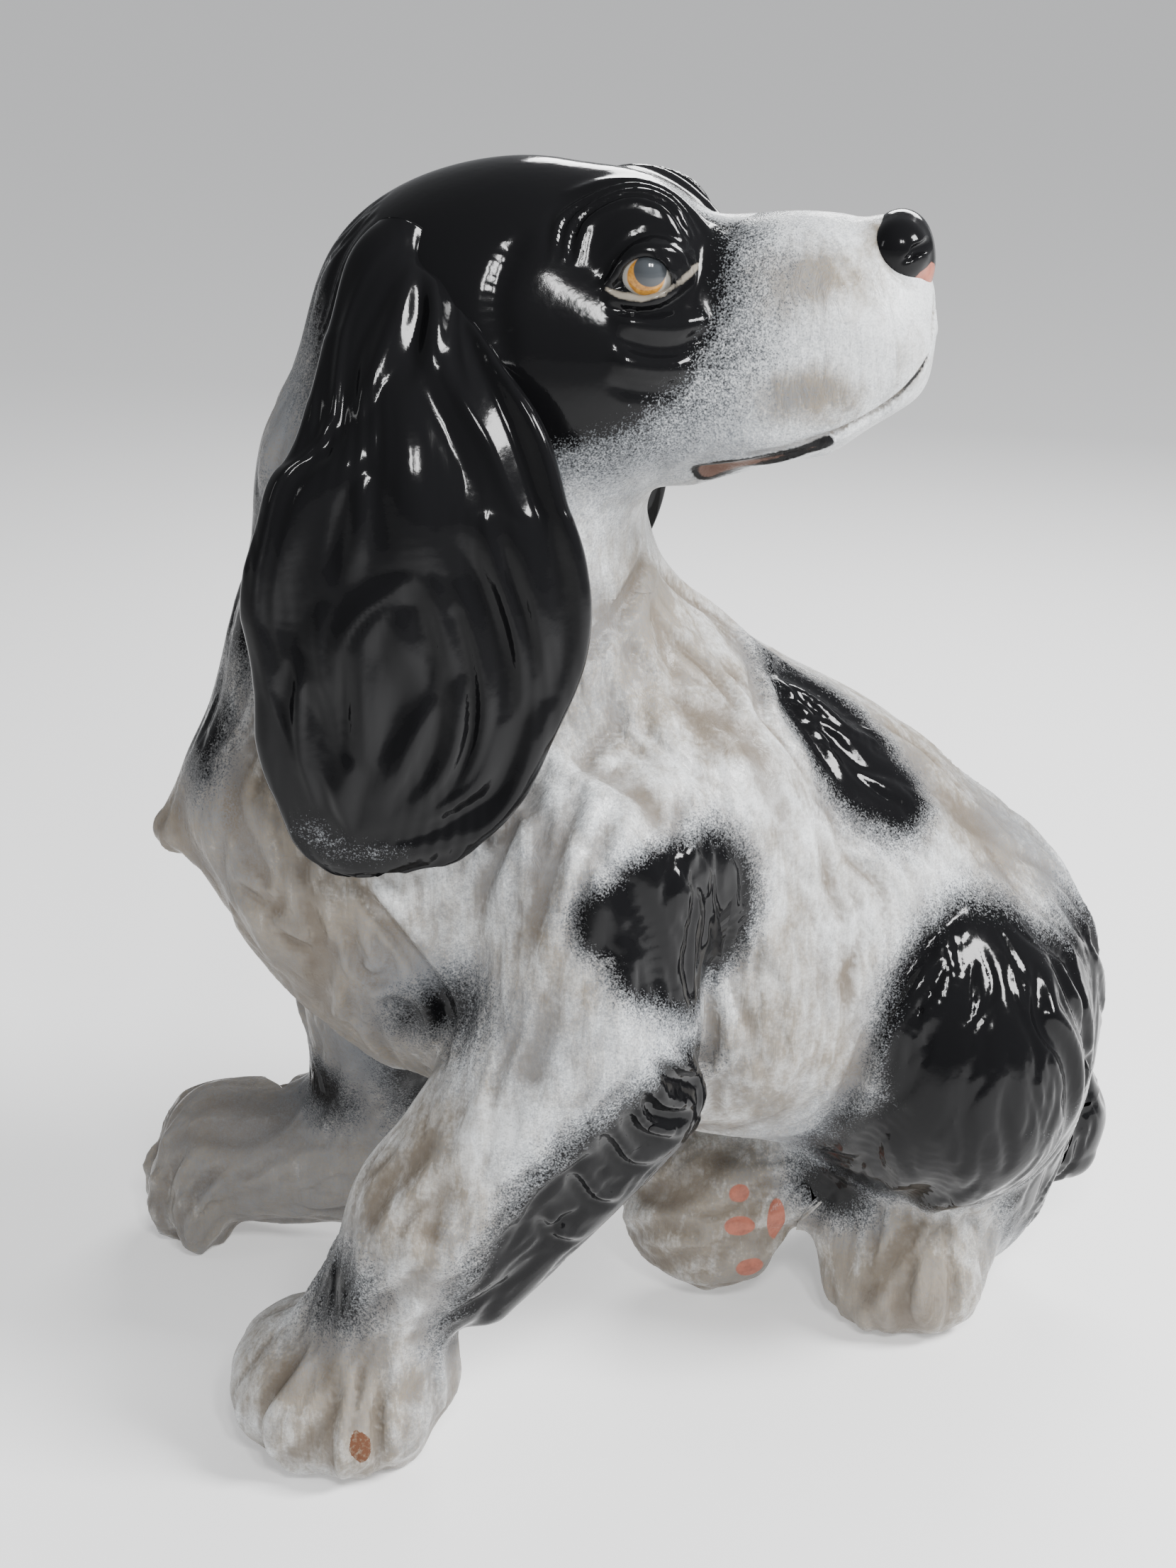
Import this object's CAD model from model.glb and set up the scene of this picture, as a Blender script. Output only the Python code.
"""Looks of the glazed earthenware spaniel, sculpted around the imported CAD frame.

The dog is modelled as clay on a grid: balls and cones are merged into a distance field, tool
strokes are pressed into it, and each casting's skin is cut out of it along its luted seams.
Sculpting is in millimetres in the modelling frame of the CAD source, and to_scene() brings
points into the scene, in metres.
"""

import itertools
import math

import bpy
import numpy as np
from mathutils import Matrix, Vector
from mathutils.kdtree import KDTree


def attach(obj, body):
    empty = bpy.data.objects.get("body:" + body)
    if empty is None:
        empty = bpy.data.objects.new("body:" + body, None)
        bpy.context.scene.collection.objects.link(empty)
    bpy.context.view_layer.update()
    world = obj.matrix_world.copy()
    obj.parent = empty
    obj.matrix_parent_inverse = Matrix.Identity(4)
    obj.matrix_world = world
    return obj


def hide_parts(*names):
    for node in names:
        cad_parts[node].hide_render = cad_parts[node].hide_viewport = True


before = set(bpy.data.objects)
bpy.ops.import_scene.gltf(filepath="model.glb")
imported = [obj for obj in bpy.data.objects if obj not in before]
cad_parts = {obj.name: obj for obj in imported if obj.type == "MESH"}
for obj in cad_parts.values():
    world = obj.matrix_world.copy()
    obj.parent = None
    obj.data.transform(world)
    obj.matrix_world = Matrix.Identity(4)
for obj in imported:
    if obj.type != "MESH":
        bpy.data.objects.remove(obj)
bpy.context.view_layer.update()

CENTRING = np.array([-13.3, -23.8, 0.0])   # as in the CAD source
METRES = 0.001
FINE = 0.85                                # clay grid of the head and the small pieces, mm
MEDIUM = 1.15                              # clay grid of the torso and the legs, mm
SEED = 7
FULL = 3.0                                 # paint layers run from -FULL, bare, to FULL, covered
PRESS_REACH = 1.9                          # how far a tool mark is felt, in its half widths
SPAN_STEPS = 12                            # steps of a curve between two of its points
EAR_AROUND, EAR_ALONG = 260, 230           # points round an ear's edge and down its length
EAR_BEND = 0.45                            # how far an ear's edges bend in, in half thicknesses
EYE_AROUND, EYE_RINGS = 160, 118           # points round an eyeball and rings along it
NOSE_GRID = 0.42                           # clay grid of the nose pad, mm

rng = np.random.default_rng(SEED)


def vec(*numbers):
    return np.array(numbers, dtype=float)


def unit(v):
    v = np.asarray(v, dtype=float)
    return v / np.linalg.norm(v)


def axes(forward, up=(0, 0, 1)):
    """Rows: forward, left and up unit vectors of a thing that points along forward."""
    ahead = unit(forward)
    left = unit(np.cross(up, ahead))
    return np.array([ahead, left, np.cross(ahead, left)])


def to_scene(points):
    return (np.asarray(points) + CENTRING) * METRES


HEAD_CENTRE = vec(-20, 0, 366)
HEAD_YAW = math.radians(-12)
HEAD_PITCH = math.radians(9)
HEAD = axes((math.cos(HEAD_YAW) * math.cos(HEAD_PITCH),
             math.sin(HEAD_YAW) * math.cos(HEAD_PITCH), math.sin(HEAD_PITCH)))
NECK_SEAM = vec(-44, 10, 300)
NECK_SEAM_NORMAL = unit((0.25, -0.1, 1.0))
BODY_YAW = math.radians(205)
EYE_CENTRE = (47, 27, 14)                  # ahead, to the side and up from the middle of the skull
EYE_RADIUS = 10.0
AHEAD = vec(math.cos(BODY_YAW), math.sin(BODY_YAW), 0)


def on_head(*points):
    """World points of points given as (ahead, left, up) from the middle of the skull."""
    placed = [HEAD_CENTRE + np.asarray(p, dtype=float) @ HEAD for p in points]
    return placed[0] if len(placed) == 1 else placed


# --- clay ------------------------------------------------------------------------------


class Clay:
    """A distance field on a grid: below zero inside the clay, above zero in the air."""

    AIR = 1000.0
    MARGIN = 12.0                          # how far round a shape the field is worked out

    def __init__(self, low, high, step):
        self.low, self.step = np.asarray(low, dtype=float), step
        self.count = np.ceil((np.asarray(high) - self.low) / step).astype(int) + 1
        self.ticks = [(self.low[i] + step * np.arange(self.count[i])).astype(np.float32)
                      for i in range(3)]
        self.field = np.full(self.count, self.AIR, np.float32)

    def _window(self, low, high):
        start = np.clip(np.floor((low - self.low) / self.step).astype(int), 0, self.count)
        stop = np.clip(np.ceil((high - self.low) / self.step).astype(int) + 1, 0, self.count)
        window = tuple(slice(a, b) for a, b in zip(start, stop))
        grid = np.meshgrid(*[t[w] for t, w in zip(self.ticks, window)], indexing="ij", sparse=True)
        return window, grid

    def _merge(self, window, shape, blend, carve):
        """Adds the shape, or cuts it away, with a fillet about as large as blend."""
        old = self.field[window]
        if carve:
            shape = -shape
        fillet = 0
        if blend > 0:
            fillet = np.maximum(blend - np.abs(old - shape), 0) ** 2 / (4 * blend)
        if carve:
            self.field[window] = np.maximum(old, shape) + fillet
        else:
            self.field[window] = np.minimum(old, shape) - fillet

    def ball(self, centre, radii, turn=np.eye(3), blend=0.0, carve=False):
        """An ellipsoid with its radii along the rows of turn."""
        centre, radii = np.asarray(centre, float), np.asarray(radii, float)
        reach = np.sqrt(((turn * radii[:, None]) ** 2).sum(0)) + self.MARGIN + blend
        window, grid = self._window(centre - reach, centre + reach)
        if any(w.start >= w.stop for w in window):
            return
        local = [sum((grid[j] - np.float32(centre[j])) * np.float32(turn[i, j]) for j in range(3))
                 for i in range(3)]
        near = np.sqrt(sum((q / np.float32(r)) ** 2 for q, r in zip(local, radii)))
        slope = np.sqrt(sum((q / np.float32(r * r)) ** 2 for q, r in zip(local, radii))) + 1e-9
        self._merge(window, (near * (near - 1) / slope).astype(np.float32), blend, carve)

    def cone(self, start, end, radius, end_radius, blend=0.0, carve=False, squash=None):
        """A rounded cone. squash = (direction, factor) flattens it along that direction."""
        start, end = np.asarray(start, float), np.asarray(end, float)
        reach = max(radius, end_radius) + self.MARGIN + blend
        window, grid = self._window(np.minimum(start, end) - reach, np.maximum(start, end) + reach)
        if any(w.start >= w.stop for w in window):
            return
        along = end - start
        offset = [g - np.float32(s) for g, s in zip(grid, start)]
        part = sum(o * np.float32(a) for o, a in zip(offset, along)) / np.float32(along @ along)
        part = np.clip(part, 0, 1)
        across = [o - part * np.float32(a) for o, a in zip(offset, along)]
        gap = sum(a * a for a in across)
        if squash is not None:
            direction = unit(squash[0])
            depth = sum(a * np.float32(d) for a, d in zip(across, direction))
            gap = gap + (squash[1] ** 2 - 1) * depth * depth
        shape = np.sqrt(gap) - (radius + (end_radius - radius) * part)
        self._merge(window, shape.astype(np.float32), blend, carve)

    def chain(self, points, radii, blend=0.0, **how):
        for i in range(len(points) - 1):
            self.cone(points[i], points[i + 1], radii[i], radii[i + 1], blend, **how)

    def press(self, marks):
        """Tool marks, as rows of x, y, z, half width and depth. A mark below zero is a ridge."""
        for sign in (1, -1):
            layer = np.zeros(self.field.size, np.float32)
            rows = marks[marks[:, 4] * sign > 0]
            reaches = np.ceil(PRESS_REACH * rows[:, 3] / self.step).astype(int)
            for reach in np.unique(reaches):
                batch = rows[reaches == reach]
                cell = np.round((batch[:, :3] - self.low) / self.step).astype(int)
                inside = np.all((cell >= reach) & (cell < self.count - reach), axis=1)
                cell, batch = cell[inside], batch[inside]
                for offset in itertools.product(range(-reach, reach + 1), repeat=3):
                    if np.dot(offset, offset) > (reach + 0.5) ** 2:
                        continue
                    near = cell + offset
                    gap = ((self.low + near * self.step - batch[:, :3]) ** 2).sum(1)
                    value = np.abs(batch[:, 4]) * np.exp(-gap / batch[:, 3] ** 2)
                    index = np.ravel_multi_index(near.T, self.count)
                    np.maximum.at(layer, index, value.astype(np.float32))
            self.field += sign * layer.reshape(self.count)

    def stand(self):
        """Cuts the clay off level with the table, at z = 0."""
        self.field = np.maximum(self.field, -self.ticks[2][None, None, :])

    def skin(self):
        """The surface as vertices and quads, with one vertex in each cell that it crosses."""
        solid = self.field < 0
        corners = list(itertools.product((0, 1), repeat=3))
        size = self.count - 1
        filled = sum(solid[a:size[0] + a, b:size[1] + b, c:size[2] + c].astype(np.int8)
                     for a, b, c in corners)
        cells = np.argwhere((filled > 0) & (filled < 8))
        number = np.full(size, -1, np.int64)
        number[tuple(cells.T)] = np.arange(len(cells))
        values = [self.field[tuple((cells + c).T)] for c in corners]
        total, crossings = np.zeros((len(cells), 3)), np.zeros(len(cells))
        for (i, a), (j, b) in itertools.combinations(enumerate(corners), 2):
            if sum(abs(p - q) for p, q in zip(a, b)) != 1:
                continue
            crossed = (values[i] < 0) != (values[j] < 0)
            share = np.where(crossed, values[i] / np.where(crossed, values[i] - values[j], 1), 0)
            point = np.array(a) + share[:, None] * (np.array(b) - np.array(a))
            total[crossed] += point[crossed]
            crossings[crossed] += 1
        points = self.low + self.step * (cells + total / crossings[:, None])
        quads = []
        for axis in range(3):
            u, v = (axis + 1) % 3, (axis + 2) % 3
            near, far = [slice(None)] * 3, [slice(None)] * 3
            near[axis], far[axis] = slice(0, -1), slice(1, None)
            start = solid[tuple(near)]
            edge = start != solid[tuple(far)]
            for side in (u, v):
                rim = [slice(None)] * 3
                for end in (0, -1):
                    rim[side] = end
                    edge[tuple(rim)] = False
            hits = np.argwhere(edge)
            corner = []
            for back_u, back_v in ((1, 1), (0, 1), (0, 0), (1, 0)):
                cell = hits.copy()
                cell[:, u] -= back_u
                cell[:, v] -= back_v
                corner.append(number[tuple(cell.T)])
            quad = np.stack(corner, 1)
            outward = start[tuple(hits.T)]
            quad[~outward] = quad[~outward][:, ::-1]
            quads.append(quad)
        return points, np.concatenate(quads)


def vertex_normals(points, quads):
    a, b, c, d = (points[quads[:, i]] for i in range(4))
    face = np.cross(c - a, d - b)
    total = np.zeros_like(points)
    for i in range(4):
        np.add.at(total, quads[:, i], face)
    return total / np.maximum(np.linalg.norm(total, axis=1, keepdims=True), 1e-12)


# --- the dog, in clay ------------------------------------------------------------------

LEFT_FORELEG = [(2, -42, 200), (0, -52, 152), (-48, -57, 88), (-66, -54, 52)]
RIGHT_FORELEG = [(-50, 44, 185), (-68, 62, 118), (-78, 76, 62)]
LEFT_THIGH = (vec(122, 12, 114), axes((0.6, -0.8, 0.1)))
RIGHT_THIGH = (vec(92, 100, 88), axes((-0.9, 0.1, 0.1)))


def torso(clay):
    trunk = axes((-0.9, -0.42, 0.15))
    clay.ball((-42, 4, 190), (60, 60, 76), trunk)
    clay.ball((-92, -8, 200), (34, 36, 42), axes((-0.9, -0.3, -0.3)), 30)
    clay.ball((-4, 20, 205), (60, 56, 66), axes((-0.8, -0.35, 0.5)), 30)
    clay.cone((-5, 22, 240), (62, 44, 162), 46, 62, 30)
    clay.cone((62, 44, 164), (112, 58, 126), 63, 60, 40)
    clay.ball((45, 22, 140), (68, 56, 54), axes((-0.9, -0.42, 0.3)), 30)
    clay.ball((123, 62, 96), (57, 60, 80), axes(AHEAD), 30)
    clay.ball((110, 70, 36), (55, 52, 38), axes(AHEAD), 20)
    clay.chain([(-48, 12, 225), (-40, 12, 300), (-32, 6, 350)], [56, 50, 43], 30)
    clay.chain([(-48, 0, 366), (-61, 3, 318), (-77, -1, 262), (-94, -4, 222)], [31, 36, 32, 30], 20)
    clay.cone((-100, -12, 218), (-134, -10, 203), 26, 7, 14)


def toes(clay, centre, forward, angles, reach, size, blend=3.5):
    """Toes that fan out round the front of a paw, at angles in degrees from forward."""
    ahead, left, up = axes(forward)
    for angle in angles:
        turn = math.radians(angle)
        heading = ahead * math.cos(turn) + left * math.sin(turn)
        clay.ball(centre + heading * reach, size, axes(heading, up), blend)


def left_foreleg(clay):
    clay.chain(LEFT_FORELEG, [38, 34, 27, 24], 10)
    clay.cone((16, -54, 128), (-34, -58, 62), 21, 12, 8)      # feathering behind the leg
    clay.ball((36, -18, 208), (32, 26, 36), np.eye(3), 22)     # shoulder, into the flank
    clay.ball((-80, -48, 26), (32, 39, 25), axes((-0.15, -0.99, 0)), 14)
    toes(clay, vec(-80, -46, 17), (-0.15, -0.99, 0), (-62, -22, 14, 48), 20, (20, 15, 19), 6)


def right_foreleg(clay):
    clay.chain(RIGHT_FORELEG, [36, 30, 26], 22)
    clay.chain([(-90, 86, 38), (-134, 95, 33)], [28, 29], 14)
    toes(clay, vec(-136, 95, 18), (-1, -0.15, 0), (-58, -20, 18, 55), 17, (18, 10.5, 21))


def left_hind_leg(clay):
    clay.ball(LEFT_THIGH[0], (49, 44, 54), LEFT_THIGH[1], 18)
    clay.ball((115, 35, 32), (30, 31, 32), axes((-0.1, -0.99, 0)), 4)
    toes(clay, vec(115, 32, 20), (-0.05, -0.99, 0), (-64, -25, 12, 46), 14, (18, 13.5, 20), 5)


def right_hind_leg(clay):
    clay.ball(RIGHT_THIGH[0], (48, 34, 56), RIGHT_THIGH[1], 22)
    clay.cone((84, 74, 48), (52, 58, 38), 32, 28, 18)
    clay.ball((43, 48, 33), (21, 31, 32), axes((-0.25, -0.95, 0)), 12)
    clay.ball((77, 40, 0), (11, 74, 34), np.eye(3), 6, carve=True)       # gap beside the sole


def tail(clay):
    clay.chain([(144, 78, 84), (162, 76, 72), (174, 73, 58), (178, 70, 44)], [24, 19, 14, 8], 14)


def head(clay):
    clay.ball(on_head((-2, 0, 4)), (59, 45, 46), HEAD, 18)
    clay.ball(on_head((8, 0, -18)), (52, 40, 40), HEAD, 18)
    clay.ball(on_head((35, 0, 18)), (25, 27, 22), HEAD, 10)
    clay.cone(on_head((40, 0, -10)), on_head((96, 0, -12)), 32, 24, 18)
    clay.ball(on_head((88, 0, -13)), (36, 25, 29), HEAD, 14)
    clay.ball(on_head((76, 0, -1)), (46, 20, 23), HEAD, 10)
    jaw = on_head((46, 0, -38), (85, 0, -36), (110, 0, -28))
    clay.chain(jaw, [18, 14, 11], 6)
    for side in (-1, 1):
        clay.ball(on_head((41, side * 18, 22)), (18, 13, 16), HEAD, 8)
        clay.ball(on_head((22, side * 22, -14)), (34, 19, 27), HEAD, 12)
        clay.ball(on_head((91, side * 12, -19)), (33, 15, 21), HEAD, 5)
        clay.ball(on_head((70, side * 17, -28)), (33, 13, 21), HEAD, 8)
        eyelids(clay, side)
    clay.ball(on_head((114, 0, 7)), (9, 13, 11), HEAD, 5)


def eyelids(clay, side):
    """A shell over the eyeball, with an almond cut out of it between the two lids."""
    x, y, z = EYE_CENTRE
    shell = EYE_RADIUS + 1.8
    clay.ball(on_head((x, side * y, z)), (shell, shell, shell), HEAD, 5)
    clay.ball(on_head((x + 0.5, side * (y + 12), z)), (7.6, 9.5, 6.0), HEAD, 0.6, carve=True)
    clay.cone(on_head((x - 3, side * (y + 11.5), z - 0.5)),
              on_head((x - 12, side * (y + 10.5), z - 2.5)), 4.4, 0.7, 0.6, carve=True)
    clay.cone(on_head((x + 3, side * (y + 9), z - 1)), on_head((x + 10, side * y, z - 4)),
              4.4, 0.8, 0.6, carve=True)


def dog(clay):
    torso(clay)
    head(clay)
    left_foreleg(clay)
    right_foreleg(clay)
    right_hind_leg(clay)
    left_hind_leg(clay)
    tail(clay)
    clay.stand()


# --- tool marks ------------------------------------------------------------------------


def through_rows(rows, place):
    """A Catmull-Rom curve through the rows, at places counted in rows from the first one."""
    rows = np.asarray(rows, dtype=float)
    padded = np.vstack([2 * rows[0] - rows[1], rows, 2 * rows[-1] - rows[-2]])
    i = np.minimum(place.astype(int), len(rows) - 2)
    t = (place - i)[:, None]
    a, b, c, d = (padded[i + k] for k in range(4))
    return 0.5 * (2 * b + (c - a) * t + (2 * a - 5 * b + 4 * c - d) * t ** 2
                  + (3 * b - a - 3 * c + d) * t ** 3)


def smooth_path(points, spacing):
    """Evenly spaced points on a smooth curve through the given ones."""
    spans = len(points) - 1
    curve = through_rows(points, np.linspace(0, spans, SPAN_STEPS * spans + 1))
    length = np.concatenate([[0], np.cumsum(np.linalg.norm(np.diff(curve, axis=0), axis=1))])
    stops = np.linspace(0, length[-1], max(int(length[-1] / spacing), 2) + 1)
    return np.stack([np.interp(stops, length, curve[:, i]) for i in range(3)], 1)


class Surface:
    """A coarse cast of the whole dog, for finding its surface near any point."""

    STEP = 2.5

    def __init__(self, build):
        self.clay = Clay((-200, -130, -8), (215, 160, 440), self.STEP)
        build(self.clay)
        self.slopes = np.gradient(self.clay.field, self.STEP)

    def _sample(self, grid, points):
        place = np.clip((points - self.clay.low) / self.STEP, 0, self.clay.count - 1.001)
        cell = place.astype(int)
        share = place - cell
        total = 0
        for corner in itertools.product((0, 1), repeat=3):
            weight = np.prod(np.where(corner, share, 1 - share), axis=1)
            total = total + weight * grid[tuple((cell + corner).T)]
        return total

    def outward(self, points):
        slope = np.stack([self._sample(s, points) for s in self.slopes], 1)
        return slope / np.maximum(np.linalg.norm(slope, axis=1, keepdims=True), 1e-6)

    def settle(self, points, rounds=3):
        """Moves points onto the surface."""
        for _ in range(rounds):
            gap = self._sample(self.clay.field, points)
            points = points - self.outward(points) * np.clip(gap, -6, 6)[:, None]
        return points


def stroke(points, width, depth, surface=None, taper=(0.0, 0.0)):
    """Tool marks along a path. taper is the share of the path over which each end fades."""
    path = smooth_path(points, max(width * 0.6, 0.6))
    if surface is not None:
        path = surface.settle(path)
    part = np.linspace(0, 1, len(path))
    fade = np.ones(len(path))
    for from_end, share in zip((part, 1 - part), taper):
        if share > 0:
            fade *= np.clip(from_end / share, 0, 1) ** 0.7
    shape = np.full(len(path), width) * (0.55 + 0.45 * fade)
    return np.column_stack([path, shape, depth * fade])


# Lines of the face, from the middle of the skull: ahead, to the side, up
LIP_LINE = [(125, 1, -7), (125.4, 4, -14), (124, 9, -21), (121, 14, -26), (114, 16, -32.5),
            (107, 17, -37), (99, 20, -40), (88, 24, -42.5), (78, 25, -44), (67, 26, -44.5)]
MOUTH_CORNER = [(92, 22, -43), (82, 22, -45.5), (71, 21, -47), (61, 18, -48.5), (53, 14, -50)]
LOWER_LID = [(35, 38, 11), (40, 38.5, 8.4), (47, 37, 6.4), (53, 32.5, 7.2), (58.5, 25, 10.5)]
BROW = [(30, 37, 20), (32.5, 34, 31), (38.5, 31, 34.5), (45.5, 27, 33), (51, 24.5, 27.5), (54, 24, 19)]
BROW_SPREAD = [(-3.5, 0.5, 1.5), (-3.0, -0.5, 3.2), (-1.5, -2.0, 4.4), (0.0, -3.4, 4.2),
               (1.8, -3.6, 3.4), (3.0, -3.0, 1.0)]


def mirrored(points, side):
    return on_head(*[(x, side * abs(y), z) for x, y, z in points])


def face_marks(surface):
    """Lips, lids, brow folds and the seam of the nose, on both sides of the head."""
    marks = []

    def add(points, side, width, depth, taper=(0.2, 0.2)):
        marks.append(stroke(mirrored(points, side), width, depth, surface, taper))

    for side in (-1, 1):
        add(LIP_LINE, side, 1.5, 3.4, (0.05, 0.05))
        add(MOUTH_CORNER, side, 3.2, 3.0, (0.5, 0.0))
        add([(78, 27, -38), (67, 28, -38.5), (55, 26, -39), (46, 21, -42), (42, 15, -47)],
            side, 2.6, -1.6)
        add([(118, 10, -33), (108, 15, -39), (96, 19, -43), (84, 22, -46)], side, 2.6, -1.6)
        add([(36, 38, 11), (40, 37, 17), (45.5, 35, 21.5), (51, 32, 21), (55, 28, 17), (58, 25, 10)],
            side, 1.6, -1.5, (0.1, 0.1))
        add([(34, 38, 14), (39, 36, 21), (45, 33, 25), (51, 29, 24.6), (55.5, 26, 20)], side, 1.5, 1.8)
        add(LOWER_LID, side, 1.4, -1.3, (0.1, 0.1))
        add([(36, 39, 7), (42, 39, 4.4), (48, 37, 3.2), (54, 33, 4.4), (59, 28, 8)], side, 1.5, 1.8)
        add([(38, 39, 4), (46, 38, 0.6), (54, 34, -1.4), (61, 29, -1.6)], side, 2.8, -2.6)
        add([(37, 40, -2), (46, 39, -6.4), (55, 35, -8), (64, 29, -5)], side, 2.2, 2.0)
        add([(36, 41, -8), (46, 40, -12), (57, 35, -14.5)], side, 3.4, -2.4)
        add([(34, 41, -15), (45, 40, -19), (56, 35, -21)], side, 2.8, 1.2)
        for spread in (0.4, 1.3, 2.2):                       # three wrinkles over the brow
            ridge = [(x + spread * dx, y + spread * dy, z + spread * dz)
                     for (x, y, z), (dx, dy, dz) in zip(BROW, BROW_SPREAD)]
            valley = [(x + 0.5 * dx, y + 0.5 * dy, z + 0.5 * dz)
                      for (x, y, z), (dx, dy, dz) in zip(ridge, BROW_SPREAD)]
            add(ridge, side, 2.2, -1.5)
            add(valley, side, 1.9, 1.4 - 0.2 * spread)
        add([(25, 26, 45), (34, 20, 46), (44, 15, 43.5), (52, 11, 36), (58, 11, 26), (63, 13, 16)],
            side, 2.4, -1.4)
        add([(62, 6, 30), (68, 8, 24), (72, 14, 16)], side, 3.0, 1.0)
        add([(14, 34, 30), (8, 37, 22), (4, 40, 10), (6, 43, -4)], side, 4.0, 1.6)
        add([(116, 10, 19), (114.5, 13, 13), (115, 14.5, 6), (118, 13, 0), (122, 9, -4)], side, 1.2, 1.4)
    return marks


# Folds of the coat and creases between toes: points, half width, depth
FOLDS = [
    ([(20, 1, 292), (37, 20, 269), (50, 20, 258), (54, 0, 245), (52, -10, 237), (59, -14, 225),
     (68, -14, 214)], 2.8, 2.4),
    ([(30, 20, 277), (46, 17, 261), (56, 17, 252), (63, 9, 242), (74, 0, 227), (81, -6, 216)], 2.6, 2.0),
    ([(16, -12, 285), (25, -9, 269), (36, -6, 257), (43, -12, 243), (38, -20, 237),
     (40, -23, 228)], 2.4, 2.0),
    ([(5, -31, 259), (9, -33, 248), (-1, -44, 239), (-8, -60, 232)], 2.8, 1.8),
    ([(22, -2, 297), (17, -7, 290), (10, -21, 280), (2, -30, 273), (-8, -38, 262)], 3.4, 2.8),
    ([(-12, -45, 242), (-19, -54, 230), (-27, -61, 215), (-32, -60, 202), (-33, -58, 188)], 3.4, 2.4),
    ([(0, -49, 237), (-6, -65, 229), (-12, -74, 214), (-16, -75, 198), (-18, -72, 182)], 3.6, 2.6),
    ([(9, -55, 234), (5, -69, 226), (-1, -76, 215), (-4, -79, 202), (-8, -78, 188)], 3.2, 2.0),
    ([(30, -40, 232), (25, -52, 222), (22, -64, 212), (20, -74, 198)], 3.0, 1.6),
    ([(-74, -46, 212), (-69, -53, 198), (-59, -54, 184), (-48, -53, 167), (-43, -52, 149),
     (-42, -61, 138)], 3.0, 3.4),
    ([(40, -44, 172), (40, -42, 158), (41, -41, 140), (40, -44, 124), (34, -52, 112)], 2.6, 3.2),
    ([(124, -3, 173), (107, -18, 162), (94, -26, 142), (85, -22, 112), (78, -6, 86)], 3.4, 3.0),
    ([(-89, -49, 199), (-85, -48, 182), (-83, -44, 168), (-88, -21, 144)], 3.6, 3.0),
    ([(-81, -51, 194), (-75, -51, 182), (-72, -49, 172), (-67, -49, 167), (-62, -52, 173),
     (-63, -53, 180), (-67, -53, 183)], 3.0, 2.6),
    ([(-76, -50, 190), (-79, -50, 180), (-83, -43, 165), (-85, -30, 148), (-80, -24, 139)], 3.4, 2.6),
    ([(-104, -38, 180), (-93, -43, 177), (-86, -44, 171), (-89, -31, 153)], 3.2, 2.4),
    ([(-69, -44, 155), (-59, -49, 159), (-55, -47, 152), (-61, -40, 141)], 2.8, 2.4),
    ([(-112, -30, 200), (-106, -40, 192), (-98, -45, 190), (-96, -46, 200)], 3.0, 2.2),
    ([(147, -7, 154), (147, -19, 139), (156, -17, 125), (161, -16, 108), (163, -10, 88)], 3.4, 3.0),
    ([(161, 18, 152), (166, 8, 134), (171, 8, 118), (170, 4, 107), (171, 6, 84)], 3.0, 3.2),
    ([(152, 6, 160), (160, -2, 140), (168, 2, 126), (174, 14, 104), (172, 16, 70)], 2.6, 2.4),
    ([(130, 30, 176), (152, 42, 166), (170, 48, 146), (180, 50, 120), (182, 52, 92)], 2.8, 2.2),
    ([(128, 50, 186), (156, 62, 168), (176, 68, 140), (183, 70, 112)], 2.8, 2.0),
    ([(18, -83, 157), (28, -74, 145), (37, -62, 137)], 2.4, 3.2),
    ([(16, -84, 147), (21, -77, 135), (33, -66, 128)], 2.4, 3.4),
    ([(11, -85, 141), (15, -78, 128), (28, -70, 120)], 2.4, 3.2),
    ([(4, -82, 130), (10, -74, 116), (20, -70, 111)], 2.4, 3.0),
    ([(-6, -82, 116), (0, -74, 102), (8, -68, 98)], 2.4, 2.6),
    ([(-16, -80, 100), (-12, -73, 88), (-4, -66, 84)], 2.2, 2.2),
    ([(-88, -64, 50), (-99, -71, 37), (-106, -72, 22), (-103, -74, 10), (-99, -74, 2)], 2.6, 4.0),
    ([(-79, -75, 47), (-81, -77, 37), (-83, -82, 24), (-84, -84, 12), (-84, -80, 2)], 2.3, 2.8),
    ([(-62, -76, 52), (-65, -78, 41), (-68, -79, 30), (-68, -80, 14), (-67, -76, 2)], 2.3, 2.4),
    ([(-52, -72, 49), (-50, -70, 32), (-50, -68, 19), (-55, -72, 6)], 2.0, 2.0),
    ([(-100, -56, 46), (-111, -62, 35), (-116, -59, 23), (-114, -60, 8)], 1.8, 1.6),
    ([(104, 14, 60), (98, 6, 46), (97, 6, 26), (99, 8, 6)], 1.9, 2.2),
    ([(111, 12, 62), (112, 2, 45), (111, 3, 24), (111, 6, 8)], 1.9, 2.2),
    ([(118, 12, 62), (126, 4, 48), (127, 6, 26), (123, 8, 8)], 1.9, 2.2),
    ([(125, 14, 60), (138, 12, 42), (140, 16, 22), (136, 16, 8)], 1.9, 2.0),
    ([(-132, 68, 42), (-142, 66, 34), (-149, 68, 22), (-150, 68, 6)], 2.2, 2.6),
    ([(-146, 74, 48), (-155, 74, 36), (-160, 78, 20), (-158, 78, 6)], 2.2, 2.8),
    ([(-150, 88, 54), (-160, 88, 42), (-166, 92, 22), (-164, 92, 6)], 2.2, 2.6),
    ([(-148, 104, 52), (-158, 106, 40), (-163, 108, 22), (-160, 108, 6)], 2.2, 2.6),
    ([(-86, 38, 112), (-92, 40, 92), (-96, 56, 72), (-112, 62, 56)], 3.4, 2.4),
]


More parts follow.
